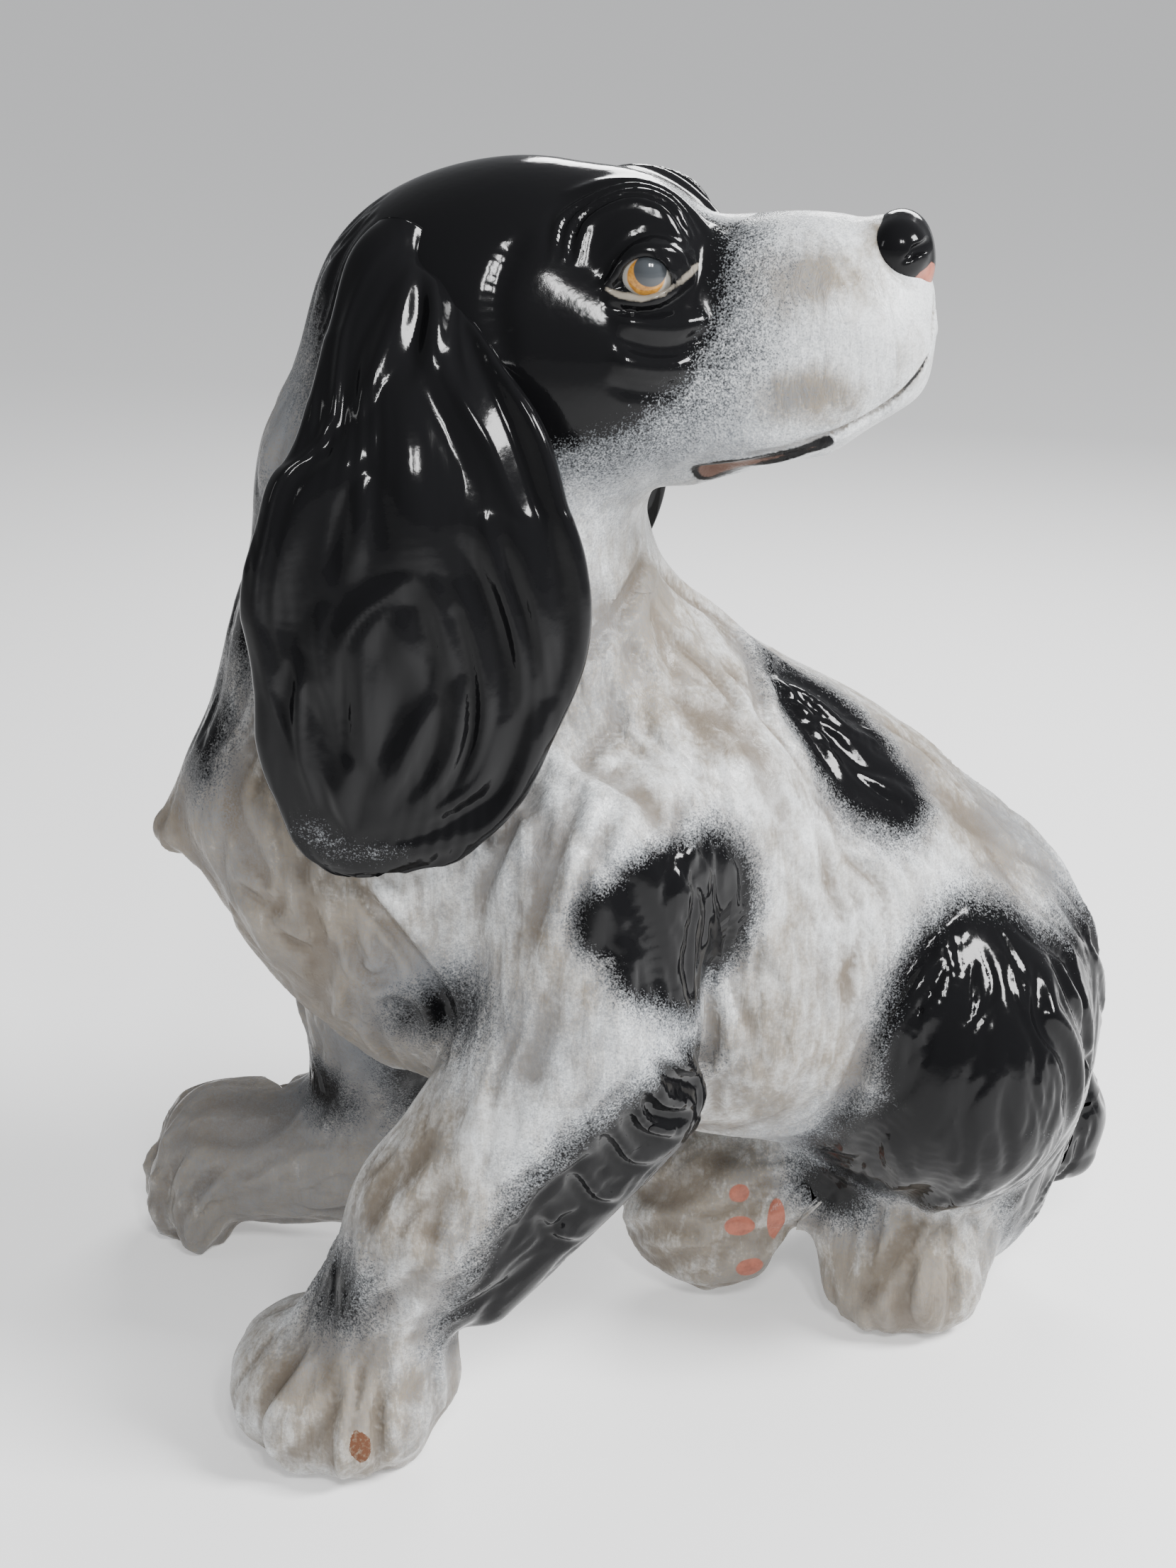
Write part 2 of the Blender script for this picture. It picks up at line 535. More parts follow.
def coat_marks(surface):
    """The folds, each with a low lip thrown up along one side of it."""
    marks = []
    for points, width, depth in FOLDS:
        groove = stroke(points, width, depth, surface, (0.3, 0.3))
        run = np.gradient(groove[:, :3], axis=0)
        sideways = np.cross(surface.outward(groove[:, :3]), run)
        sideways /= np.maximum(np.linalg.norm(sideways, axis=1, keepdims=True), 1e-6)
        lip = groove.copy()
        lip[:, :3] += sideways * (2.0 * width)
        lip[:, 3] *= 1.1
        groove[:, 4] *= 1.3
        lip[:, 4] *= -0.75
        marks += [groove, lip]
    return marks


# Where the fur lies: a place, the way the hair runs there, and how far that holds
FUR = [
    ((-70, 20, 340), (-0.5, 0.1, -1.0), 50), ((-90, 0, 280), (-0.35, 0, -1.0), 50),
    ((10, -10, 330), (-0.2, 0.2, -1.0), 30), ((5, -30, 280), (0.25, -0.2, -1.0), 35),
    ((-110, -20, 205), (0.1, 0, -1.0), 40), ((-80, -40, 150), (0.45, 0, -1.0), 45),
    ((-40, -60, 150), (0.25, 0, -1.0), 35), ((10, -60, 220), (0.3, -0.1, -1.0), 40),
    ((50, -40, 200), (0.55, 0, -1.0), 35), ((20, 10, 285), (0.9, 0, -0.7), 35),
    ((80, 25, 225), (1.0, 0.2, -0.75), 40), ((130, 50, 185), (1.0, 0.2, -0.8), 40),
    ((175, 60, 140), (0.5, 0.1, -1.0), 40), ((185, 60, 80), (0, 0, -1.0), 50),
    ((60, -30, 130), (0.1, 0, -1.0), 35), ((50, -10, 70), (-0.9, 0, -0.25), 35),
    ((90, -20, 150), (-0.5, 0, -1.0), 30), ((120, -30, 130), (-0.35, 0, -1.0), 30),
    ((160, -10, 120), (0.25, 0, -1.0), 30), ((120, -20, 60), (-0.2, -0.2, -1.0), 35),
    ((-20, -80, 100), (-0.9, 0, -0.8), 40), ((-70, -80, 55), (-0.6, -0.3, -1.0), 30),
    ((-70, 70, 110), (-0.25, 0, -1.0), 40), ((-120, 80, 40), (-1.0, 0, -0.35), 35),
    ((90, 130, 100), (-0.3, 0, -1.0), 50), ((60, 90, 60), (-0.9, 0, -0.5), 40),
    ((0, 80, 220), (0.3, 0, -1.0), 60), ((80, 110, 180), (0.8, 0, -0.8), 50),
]
SPINE_FUR = np.array([row[0] for row in FUR], dtype=float)
LIE_FUR = np.array([unit(row[1]) for row in FUR])
HOLD_FUR = np.array([row[2] for row in FUR], dtype=float)


def lie_of_fur(points):
    gap = np.linalg.norm(points[:, None, :] - SPINE_FUR[None], axis=2) / HOLD_FUR
    weight = np.exp(-gap ** 2) + 1e-6 / (0.1 + gap)
    return (weight[:, :, None] * LIE_FUR[None]).sum(1)


def on_face(points):
    """Above zero on the front of the head, which is smooth."""
    ahead = (points - HEAD_CENTRE) @ HEAD[0]
    height = (points - HEAD_CENTRE) @ HEAD[2]
    return np.minimum(ahead + 30, height + 66)


def fur_marks(surface, seeds, count, lengths, widths, depths, swing):
    """Hand-tooled strokes that follow the lie of the fur from random starts."""
    start = seeds[rng.integers(0, len(seeds), count)]
    length = rng.uniform(*lengths, count)
    width = rng.uniform(*widths, count)
    depth = rng.uniform(*depths, count)
    phase = rng.uniform(0, 2 * math.pi, count)
    turns = rng.uniform(0.6, 1.5, count)
    advance = width.mean() * 0.7
    steps = int(lengths[1] / advance)
    points = surface.settle(start)
    rows = []
    for i in range(steps):
        part = i * advance / length
        alive = part < 1
        fade = np.sin(np.pi * np.clip(part, 0, 1)) ** 0.6
        rows.append(np.column_stack([points, width * (0.6 + 0.4 * fade), depth * fade])[alive])
        outward = surface.outward(points)
        along = lie_of_fur(points)
        along -= outward * (along * outward).sum(1)[:, None]
        along /= np.maximum(np.linalg.norm(along, axis=1, keepdims=True), 1e-6)
        angle = swing * np.sin(phase + turns * 2 * math.pi * part)
        across = np.cross(outward, along)
        heading = along * np.cos(angle)[:, None] + across * np.sin(angle)[:, None]
        points = surface.settle(points + heading * advance, rounds=1)
    return np.vstack(rows)


# --- skins of the castings ---------------------------------------------------------------


def near_chain(points, chain, radii):
    """Distance to a chain of rounded cones."""
    best = np.full(len(points), 1e3)
    for a, b, ra, rb in zip(chain, chain[1:], radii, radii[1:]):
        a, b = np.asarray(a, float), np.asarray(b, float)
        part = np.clip((points - a) @ (b - a) / ((b - a) @ (b - a)), 0, 1)
        gap = np.linalg.norm(points - a - part[:, None] * (b - a), axis=1)
        best = np.minimum(best, gap - (ra + (rb - ra) * part))
    return best


def near_ball(points, centre, radii, turn=np.eye(3)):
    local = (points - centre) @ np.asarray(turn).T
    reach = np.linalg.norm(local / radii, axis=1)
    return (reach - 1) * np.mean(radii)


# Below zero inside the part of the dog that a casting makes up
SEAMS = {
    "head": lambda p: -(p - NECK_SEAM) @ NECK_SEAM_NORMAL,
    "left_foreleg": lambda p: np.minimum(
        near_chain(p, LEFT_FORELEG, [44, 39, 34, 32]), near_ball(p, (-84, -66, 22), (46, 46, 40))),
    "right_foreleg": lambda p: np.minimum(
        near_chain(p, RIGHT_FORELEG, [40, 38, 36]), near_ball(p, (-124, 86, 22), (56, 42, 42))),
    "left_hind_leg": lambda p: np.minimum(
        near_ball(p, LEFT_THIGH[0], (58, 52, 70), LEFT_THIGH[1]),
        near_ball(p, (110, 8, 24), (42, 46, 42))),
    "right_hind_leg": lambda p: np.minimum(
        near_ball(p, RIGHT_THIGH[0], (54, 42, 62), RIGHT_THIGH[1]),
        near_chain(p, [(80, 70, 48), (40, 46, 36)], [36, 42])),
    "tail": lambda p: near_chain(p, [(160, 75, 70), (184, 71, 46), (186, 68, 34)], [20, 22, 14]),
}


def seam(node):
    """The seam function of a casting. Each one gives way to those named before it."""
    names = list(SEAMS)
    others = names if node == "torso" else names[:names.index(node)]

    def gap(points):
        own = np.full(len(points), -1e3) if node == "torso" else SEAMS[node](points)
        for other in others:
            own = np.maximum(own, -SEAMS[other](points))
        return own

    return gap


def cut_along(points, normals, quads, gap):
    """Keeps the quads on the inner side of a seam, and draws their rim onto the seam."""
    inner = gap(points) < 0
    kept = quads[inner[quads].sum(1) >= 2]
    rest = quads[inner[quads].sum(1) < 2]
    rim = np.intersect1d(kept, rest)
    moved = points.copy()
    for _ in range(3):
        here = moved[rim]
        value = gap(here)
        nudge = 0.05
        slope = np.stack([(gap(here + nudge * axis) - value) / nudge for axis in np.eye(3)], 1)
        slope -= normals[rim] * (slope * normals[rim]).sum(1)[:, None]
        steep = np.maximum((slope ** 2).sum(1), 0.05)
        pull = -slope * (value / steep)[:, None]
        length = np.linalg.norm(pull, axis=1, keepdims=True)
        moved[rim] = here + pull * np.minimum(1, 1.2 / np.maximum(length, 1e-9))
    return moved, kept


def largest_part(quads, size):
    """The quads of the biggest connected sheet, found by passing the lowest label around."""
    label = np.arange(size)
    while True:
        low = label[quads].min(1)
        fresh = label.copy()
        np.minimum.at(fresh, quads.ravel(), np.repeat(low, 4))
        fresh = fresh[fresh]
        if np.array_equal(fresh, label):
            break
        label = fresh
    owner = label[quads[:, 0]]
    names, counts = np.unique(owner, return_counts=True)
    return quads[owner == names[np.argmax(counts)]], len(names)


def rims(quads):
    """Closed loops of vertices round the holes of a sheet of quads."""
    edges = np.vstack([quads[:, [i, (i + 1) % 4]] for i in range(4)])
    whole = edges.max() + 1
    code = edges[:, 0] * whole + edges[:, 1]
    back = edges[:, 1] * whole + edges[:, 0]
    open_edges = edges[~np.isin(code, back)]
    follow = {}
    for a, b in open_edges.tolist():
        follow.setdefault(a, []).append(b)
    loops = []
    while follow:
        first = next(iter(follow))
        loop, here = [first], first
        while True:
            onward = follow[here].pop()
            if not follow[here]:
                del follow[here]
            if onward == first or onward not in follow:
                break
            loop.append(onward)
            here = onward
        loops.append(loop)
    return loops


# --- paint -------------------------------------------------------------------------------

# Each patch: centre, radii, how far its edge is sprayed, and the way its first radius points
# where that isn't along x
BLACK = [
    ((33, -50, 191), (20, 70, 29), 6), ((12, -60, 199), (18, 70, 14), 6),
    ((25, -60, 204), (21, 70, 16), 6), ((23, -60, 194), (20, 70, 23), 6),
    ((84, 10, 228), (40, 22, 18), 5, (0.62, -0.44, -0.65)), ((102, 4, 210), (14, 18, 14), 5),
    ((128, -10, 130), (36, 50, 47), 5), ((122, 0, 94), (43, 60, 33), 6),
    ((158, 40, 106), (40, 60, 52), 6), ((168, 56, 68), (31, 60, 44), 6),
    ((101, 12, 85), (27, 50, 25), 7, (1, 0, 0.3)), ((150, 4, 124), (26, 60, 36), 6),
    ((86, 15, 56), (13, 50, 12), 10, (1, 0, 0.2)), ((-80, -66, 67), (14, 18, 10), 9, (1, 0, 0.7)),
    ((-46, -50, 158), (9, 20, 16), 10, (0.6, 0, -1)), ((-52, 40, 104), (20, 36, 44), 12),
    ((-96, 60, 78), (12, 24, 12), 9, (1, 0, 1)), ((-106, -6, 285), (12, 26, 34), 8),
    ((-121, -18, 242), (11, 18, 17), 7), ((182, 72, 48), (24, 28, 46), 6),
    ((70, 96, 226), (34, 24, 24), 5, (1, 0, -0.6)), ((96, 122, 96), (44, 30, 42), 6),
    ((-30, 62, 232), (24, 20, 26), 6),
]
FEATHER = [(25, -66, 127), (0, -62, 103), (-24, -62, 76), (-37, -64, 58)]
FEATHER_RADII = [29, 31, 26, 15]
SMUDGED = [
    ((84, 2, 84), (40, 50, 34), 14, (1, 0, 0.2)), ((-2, -66, 158), (26, 30, 16), 16),
    ((-50, -50, 170), (20, 24, 18), 12), ((0, -24, 262), (14, 20, 30), 14),
    ((-70, 34, 110), (30, 44, 34), 12), ((-92, -10, 330), (14, 30, 40), 14),
    ((160, 40, 34), (30, 40, 30), 14), ((-14, -56, 214), (22, 22, 20), 16),
    ((-110, -16, 205), (12, 30, 14), 12), ((150, 50, 180), (30, 30, 8), 10, (1, 0, -1)),
    ((26, -62, 166), (24, 22, 18), 12), ((20, -40, 330), (50, 40, 24), 20),
    ((-112, 74, 50), (64, 50, 60), 70), ((-40, -84, 30), (14, 24, 24), 14),
    ((-60, 30, 130), (24, 40, 30), 14),
]
STAINED = [
    ((-90, 0, 345), (34, 46, 70), 5), ((-112, 74, 44), (70, 60, 70), 5),
    ((-70, 40, 120), (56, 56, 60), 5), ((-112, -16, 206), (46, 60, 40), 6),
    ((-80, -30, 160), (50, 54, 56), 6, (0.4, 0, -1)), ((-84, -66, 26), (50, 50, 30), 20),
    ((-50, -70, 110), (30, 40, 44), 18, (0.5, 0, 1)), ((112, 0, 26), (50, 46, 40), 14),
    ((46, 36, 34), (40, 50, 46), 12), ((20, -10, 262), (44, 50, 34), 20, (1, 0, -0.6)),
    ((74, 10, 236), (50, 40, 16), 14, (0.7, 0, -0.7)),
    ((120, 40, 200), (60, 50, 16), 12, (0.8, 0, -0.6)), ((60, -30, 110), (44, 40, 60), 36),
    ((-120, -20, 250), (20, 60, 60), 14), ((67, -40, 386), (13, 20, 10), 3.4, (0, 1, 0)),
    ((86, -32, 396), (6, 20, 6), 4), ((-94, -72, 34), (9, 14, 12), 3, (1, 0, 1)),
    ((-58, -74, 36), (8, 14, 14), 3, (1, 0, -0.3)), ((-82, -72, 49), (9, 14, 6), 3),
    ((-104, -66, 26), (6, 14, 14), 3), ((64, -40, 353), (15, 24, 8), 3.6),
    ((-10, -60, 180), (40, 40, 30), 30),
]
PADS = [
    ((54, 26, 50), (4, 6, 3.6), 0.8), ((54, 25, 38), (5.5, 6, 4), 0.8), ((58, 29, 20), (5, 6, 4.6), 0.8),
    ((67, 24, 39), (3.4, 7, 12), 0.8),
]
CHIPS = [
    ((-73, -85, 19), (3.2, 10, 5.8), 0.6, (1, 0, 0.2)),
]
HEAD_BLACK = (6, 22)                       # middle of the black of the head, ahead and up
HEAD_BLACK_RADII = (67, 57)
PAINT_LAYERS = ("ink", "line", "mouth", "lid", "smudge", "stain", "pad", "chip")
BLAZE = [(20, 1, 52), (38, 0, 47), (50, -1, 41), (60, -3, 32), (70, 0, 26)]
BLAZE_WIDTHS = [0.2, 1.0, 2.4, 4.0, 8.0]
MOUTH_WIDTHS = [0.1, 0.2, 0.9, 2.5, 3.0]
LID_RIM = [(36, 37, 12), (40, 37, 9.6), (46, 36, 8), (52, 34, 8.4), (57, 28, 11), (62, 25, 14)]
LID_WIDTHS = [0.2, 0.6, 0.8, 0.8, 1.2, 0.6]


def patch(points, rows):
    """Largest of the rows' paint, 1 well inside a patch, 0 at its edge, -1 well outside."""
    best = np.full(len(points), -FULL)
    for centre, radii, spray, *forward in rows:
        turn = axes(*forward) if forward else np.eye(3)
        inside = -near_ball(points, np.array(centre, float), np.array(radii, float), turn)
        best = np.maximum(best, inside / spray)
    return np.clip(best, -FULL, FULL)


def head_ink(points):
    """The black of the head, a rounded box seen from the side, split by the white blaze."""
    local = (points - HEAD_CENTRE) @ HEAD.T
    ahead = np.abs(local[:, 0] - HEAD_BLACK[0]) / HEAD_BLACK_RADII[0]
    height = np.abs(local[:, 2] - HEAD_BLACK[1]) / HEAD_BLACK_RADII[1]
    inside = (1 - (ahead ** 2.5 + height ** 2.5) ** 0.4) * min(HEAD_BLACK_RADII)
    cap = np.where(inside > 0, inside / 5, inside / 11)
    blaze = near_chain(points, on_head(*BLAZE), BLAZE_WIDTHS)
    return np.clip(np.minimum(cap, blaze / 1.6), -FULL, FULL)


def off_face_line(points, line, widths):
    """Distance to a line of the face, mostly as seen from beside the head, on either side."""
    local = (points - HEAD_CENTRE) @ HEAD.T
    local[:, 1] = 0.3 * np.abs(local[:, 1])
    return near_chain(local, np.array(line, float) * (1, 0.3, 1), widths)


def paint(points):
    """What the sprays, brushes and washes leave at each point."""
    above_neck = (points - NECK_SEAM) @ NECK_SEAM_NORMAL
    head_side = np.where(above_neck > -20, 0.0, 1e3)
    corner = off_face_line(points, MOUTH_CORNER, MOUTH_WIDTHS) + head_side
    lips = off_face_line(points, LIP_LINE[1:6], [0.2] * 5) + head_side
    lid = off_face_line(points, LID_RIM, LID_WIDTHS) + head_side
    feather = -near_chain(points, FEATHER, FEATHER_RADII) / 5
    ink = np.maximum(patch(points, BLACK), feather)
    layers = {
        "ink": np.maximum(ink, np.where(above_neck > -20, head_ink(points), -FULL)),
        "line": np.maximum((1.9 - corner) / 0.8, (0.4 - lips) / 0.7),
        "mouth": -corner / 0.7,
        "lid": (0.3 - lid) / 0.5,
        "smudge": patch(points, SMUDGED),
        "stain": patch(points, STAINED),
        "pad": patch(points, PADS),
        "chip": patch(points, CHIPS),
    }
    return {name: np.clip(values, -FULL, FULL) for name, values in layers.items()}


# --- meshes ------------------------------------------------------------------------------


def mesh_piece(name, points, faces, layers, normals=None, cap_from=None):
    """A smooth-shaded mesh object with float layers on its points.

    faces is a list of arrays, one for each number of corners. normals are given per point and
    hold for the faces before cap_from; the caps after it are left flat.
    """
    corners = np.concatenate([f.ravel() for f in faces])
    sizes = np.concatenate([np.full(len(f), f.shape[1]) for f in faces])
    starts = np.concatenate([[0], np.cumsum(sizes)[:-1]])
    mesh = bpy.data.meshes.new(name)
    mesh.vertices.add(len(points))
    mesh.vertices.foreach_set("co", to_scene(points).astype(np.float32).ravel())
    mesh.loops.add(len(corners))
    mesh.loops.foreach_set("vertex_index", corners.astype(np.int32))
    mesh.polygons.add(len(sizes))
    mesh.polygons.foreach_set("loop_start", starts.astype(np.int32))
    mesh.polygons.foreach_set("use_smooth", np.ones(len(sizes), bool))
    mesh.update(calc_edges=True)
    for layer, values in layers.items():
        data = mesh.attributes.new(layer, "FLOAT", "POINT")
        data.data.foreach_set("value", np.asarray(values, np.float32))
    if normals is not None:
        per_corner = normals[corners].copy()
        if cap_from is not None:
            flat = np.zeros(len(mesh.polygons) * 3, np.float32)
            mesh.polygons.foreach_get("normal", flat)
            face_of_corner = np.repeat(np.arange(len(sizes)), sizes)
            cap = face_of_corner >= cap_from
            per_corner[cap] = flat.reshape(-1, 3)[face_of_corner[cap]]
        mesh.normals_split_custom_set(per_corner.tolist())
    piece = bpy.data.objects.new(name, mesh)
    bpy.context.scene.collection.objects.link(piece)
    return piece


def finish_piece(piece, node, material):
    piece.data.materials.append(material)
    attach(piece, "root")
    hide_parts(node)
    return piece


def casting(node, scout, marks, step, material):
    """The skin of one casting, with the faces that are luted to its neighbours closed."""
    gap = seam(node)
    own = scout[gap(scout) < 0]
    margin = 7.0
    clay = Clay(own.min(0) - margin, own.max(0) + margin, step)
    dog(clay)
    before = clay.field.copy()
    clay.press(marks)
    worked = clay.field - before
    clay.stand()
    points, quads = clay.skin()
    normals = vertex_normals(points, quads)
    points, quads = cut_along(points, normals, quads, gap)
    quads, sheets = largest_part(quads, len(points))
    used, quads = np.unique(quads, return_inverse=True)
    points, normals, quads = points[used], normals[used], quads.reshape(-1, 4)
    cell = np.clip(np.round((points - clay.low) / step).astype(int), 0, clay.count - 1)
    groove = worked[tuple(cell.T)]
    layers = paint(points)
    layers["groove"] = groove
    hubs, fans = [], []
    for loop in rims(quads):
        hub = len(points) + len(hubs)
        hubs.append(points[loop].mean(0))
        fans += [(b, a, hub) for a, b in zip(loop, loop[1:] + loop[:1])]
    if hubs:
        points = np.vstack([points, hubs])
        normals = np.vstack([normals, np.tile([0.0, 0.0, 1.0], (len(hubs), 1))])
        layers = {k: np.concatenate([v, np.full(len(hubs), -FULL)]) for k, v in layers.items()}
    faces = [quads] + ([np.array(fans)] if fans else [])
    print(f"{node}: {len(points)} points, {len(quads)} quads, {sheets} sheets, {len(hubs)} caps")
    piece = mesh_piece(node + "_skin", points, faces, layers, normals, len(quads))
    return finish_piece(piece, node, material)


# --- ears --------------------------------------------------------------------------------


def ear(node, rows, outward, material, detail):
    """A leaf of clay with long wavy locks. A row is x, y, z, half width and half thickness."""
    around, along = int(EAR_AROUND * detail), int(EAR_ALONG * detail)
    place = np.linspace(0, 1, along)
    table = through_rows(rows, place * (len(rows) - 1))
    centre, width, thick = table[:, :3], table[:, 3], table[:, 4]
    run = np.gradient(centre, axis=0)
    run /= np.linalg.norm(run, axis=1, keepdims=True)
    across = np.cross(run, outward)
    across /= np.linalg.norm(across, axis=1, keepdims=True)
    out = np.cross(across, run)
    turn = np.linspace(0, 2 * math.pi, around, endpoint=False)
    side = np.sign(np.cos(turn)) * np.abs(np.cos(turn)) ** 0.75
    face = np.sign(np.sin(turn)) * np.abs(np.sin(turn)) ** 0.6
    length = np.concatenate([[0], np.cumsum(np.linalg.norm(np.diff(centre, axis=0), axis=1))])
    u = (length / length[-1])[:, None]
    v = side[None, :]
    like = through_rows(RIGHT_EAR, place * (len(RIGHT_EAR) - 1))    # where the locks are drawn
    relief, valleys = lock_relief(like[:, :1] - v * like[:, 3:4], like[:, 2:3] + 0 * v)
    relief *= np.clip((width[:, None] - 6) / 14, 0.1, 1)
    edge = 1 + 0.012 * np.sin(23 * u + 1) * np.clip((u - 0.3) * 3, 0, 1) + 0.012 * np.sin(9 * u + 2)
    rolled = 0.8 * np.exp(-((np.abs(v) - 0.93) / 0.10) ** 2) * np.clip(u * 4, 0, 1)
    height = thick[:, None] * (face[None, :] - EAR_BEND * v ** 2) + rolled * 1.6
    height += np.where(face[None, :] > 0, 1.0, 0.35) * relief * np.abs(face[None, :]) ** 0.5
    points = (centre[:, None, :] + across[:, None, :] * (v * edge * width[:, None])[:, :, None]
              + out[:, None, :] * height[:, :, None])
    points = np.vstack([points.reshape(-1, 3), points[0].mean(0)[None], points[-1].mean(0)[None]])
    ring = np.arange(around)
    after = (ring + 1) % around
    base = np.arange(along - 1)[:, None] * around
    quads = np.stack([base + ring, base + after, base + around + after, base + around + ring], 2)
    quads = quads.reshape(-1, 4)[:, ::-1]
    top, tip = along * around, along * around + 1
    last = (along - 1) * around
    fans = np.vstack([np.column_stack([ring, after, np.full(around, top)]),
                      np.column_stack([last + after, last + ring, np.full(around, tip)])])[:, ::-1]
    if np.dot(np.cross(across[0], run[0]), out[0]) > 0:
        quads, fans = quads[:, ::-1], fans[:, ::-1]
    layers = {name: np.full(len(points), -FULL) for name in PAINT_LAYERS}
    layers["ink"] = FULL - 0.5 * (patch(points, EAR_WEAR) + FULL)
    layers["groove"] = np.concatenate([valleys.ravel(), [0, 0]])
    piece = mesh_piece(node + "_leaf", points, [quads, fans], layers)
    return finish_piece(piece, node, material)


# Locks of the ear's long hair, seen square on: points across and up, half width and height
EAR_LOCKS = [
    ([(-56, 394), (-70, 374), (-75, 350), (-87, 336), (-94, 318), (-97, 290), (-94, 258),
     (-86, 240)], 1.6, 1.5),
    ([(-52, 384), (-66, 366), (-70, 350), (-82, 333), (-89, 318), (-92, 290), (-89, 260)], 2.2, -1.4),
    ([(-50, 384), (-54, 372), (-60, 361), (-67, 349)], 3.4, 2.6),
    ([(-45, 386), (-43, 374), (-44, 360)], 3.2, 2.4), ([(-48, 384), (-48, 370), (-51, 356)], 2.4, -2.2),
    ([(-39, 384), (-38, 368), (-36, 354)], 2.4, -2.0),
    ([(-34, 386), (-28, 371), (-20, 355), (-12, 342), (-6, 328), (-2, 308), (-1, 285)], 3.8, 3.6),
    ([(-37, 380), (-33, 363), (-26, 350), (-18, 334), (-12, 318)], 2.6, -2.6),
    ([(-42, 362), (-34, 348), (-26, 336), (-18, 320)], 2.0, 1.2),
    ([(-48, 356), (-40, 342), (-33, 330)], 3.4, -1.8),
    ([(-54, 350), (-67, 339), (-79, 328), (-86, 312), (-89, 292)], 6.5, 2.6),
    ([(-54, 350), (-51, 330), (-48, 306)], 8.0, 3.6), ([(-64, 336), (-66, 321), (-68, 308)], 3.2, 2.4),
    ([(-71, 326), (-74, 306)], 3.2, -2.4), ([(-59, 330), (-58, 314)], 3.0, -1.4),
    ([(-77, 328), (-83, 312), (-85, 292), (-83, 270)], 5.0, -3.2),
    ([(-46, 312), (-55, 303), (-66, 294), (-72, 281), (-73, 268)], 3.0, 2.8),
    ([(-50, 306), (-59, 296), (-66, 284), (-67, 268), (-67, 250)], 4.0, 3.0),
    ([(-71, 276), (-72, 258), (-73, 246)], 2.6, -2.8), ([(-77, 294), (-79, 280), (-78, 266)], 3.2, 2.0),
    ([(-81, 266), (-78, 252), (-76, 240)], 3.6, -3.0), ([(-47, 312), (-44, 296), (-40, 280)], 3.2, 2.4),
    ([(-50, 300), (-46, 288), (-46, 270)], 2.0, -2.2), ([(-56, 298), (-54, 286), (-53, 276)], 4.2, 2.8),
    ([(-53, 276), (-57, 261), (-60, 250)], 3.2, -3.0),
    ([(-46, 268), (-52, 257), (-57, 246), (-62, 238)], 2.4, 2.0),
    ([(-43, 276), (-43, 262), (-48, 248), (-57, 238)], 2.8, -2.6),
    ([(-38, 276), (-39, 263), (-42, 252), (-50, 240)], 3.2, 2.2),
    ([(-38, 294), (-34, 278), (-34, 263), (-38, 252), (-47, 240)], 2.0, -2.2),
    ([(-40, 306), (-34, 290), (-30, 275), (-31, 261), (-37, 247)], 2.2, 1.8),
    ([(-36, 314), (-29, 300), (-25, 287), (-22, 272)], 3.4, -3.2),
    ([(-29, 320), (-26, 304), (-21, 288), (-19, 274)], 2.4, 2.2),
    ([(-25, 314), (-20, 298), (-16, 282)], 2.0, -1.8), ([(-20, 318), (-15, 298), (-13, 280)], 3.4, 2.0),
    ([(-11, 324), (-7, 304), (-7, 286), (-12, 270)], 3.2, -2.2),
    ([(-12, 272), (-17, 256), (-25, 241), (-38, 231), (-54, 224)], 2.6, 2.0),
    ([(-18, 274), (-22, 258), (-29, 246), (-42, 237), (-56, 229), (-68, 224)], 2.2, -2.2),
    ([(-27, 266), (-30, 254), (-38, 243), (-48, 234), (-58, 228)], 2.0, 1.4),
    ([(-83, 278), (-86, 260), (-86, 246), (-82, 232)], 1.6, 1.5),
    ([(-87, 276), (-90, 260), (-89, 246)], 2.4, -1.8), ([(-69, 248), (-73, 239), (-76, 228)], 2.6, 1.6),
    ([(-64, 246), (-67, 236), (-70, 226)], 2.0, -1.6), ([(-80, 240), (-77, 230), (-72, 222)], 2.2, -1.6),
]


def lock_relief(across, up):
    """Height of the locks over the face of an ear, and how deep in a valley each point is."""
    place = np.column_stack([across.ravel(), up.ravel()])
    ridges, valleys = np.zeros(len(place)), np.zeros(len(place))
    for points, width, height in EAR_LOCKS:
        path = smooth_path([(x, 0, z) for x, z in points], 0.3 * width)[:, [0, 2]]
        fade = np.sin(np.pi * np.linspace(0.06, 0.94, len(path))) ** 0.7
        bump = np.zeros(len(place))
        for spot, strength in zip(path, fade):
            gap = ((place - spot) ** 2).sum(1)
            bump = np.maximum(bump, abs(height) * strength * np.exp(-gap / (1.2 * width) ** 2))
        if height > 0:
            ridges = np.maximum(ridges, bump)
        else:
            valleys = np.maximum(valleys, bump)
    x, z = place.T
    bend = 2.2 * np.sin(z / 17 + 1) + 1.3 * np.sin(z / 7.4 + x / 19)
    hair = np.sin((x + bend) * 1.55 + 1.6 * np.sin(z / 23)) * (0.5 + 0.5 * np.sin(x / 11 + z / 13))
    return (ridges - 0.8 * valleys + 0.16 * hair).reshape(across.shape), valleys.reshape(across.shape)


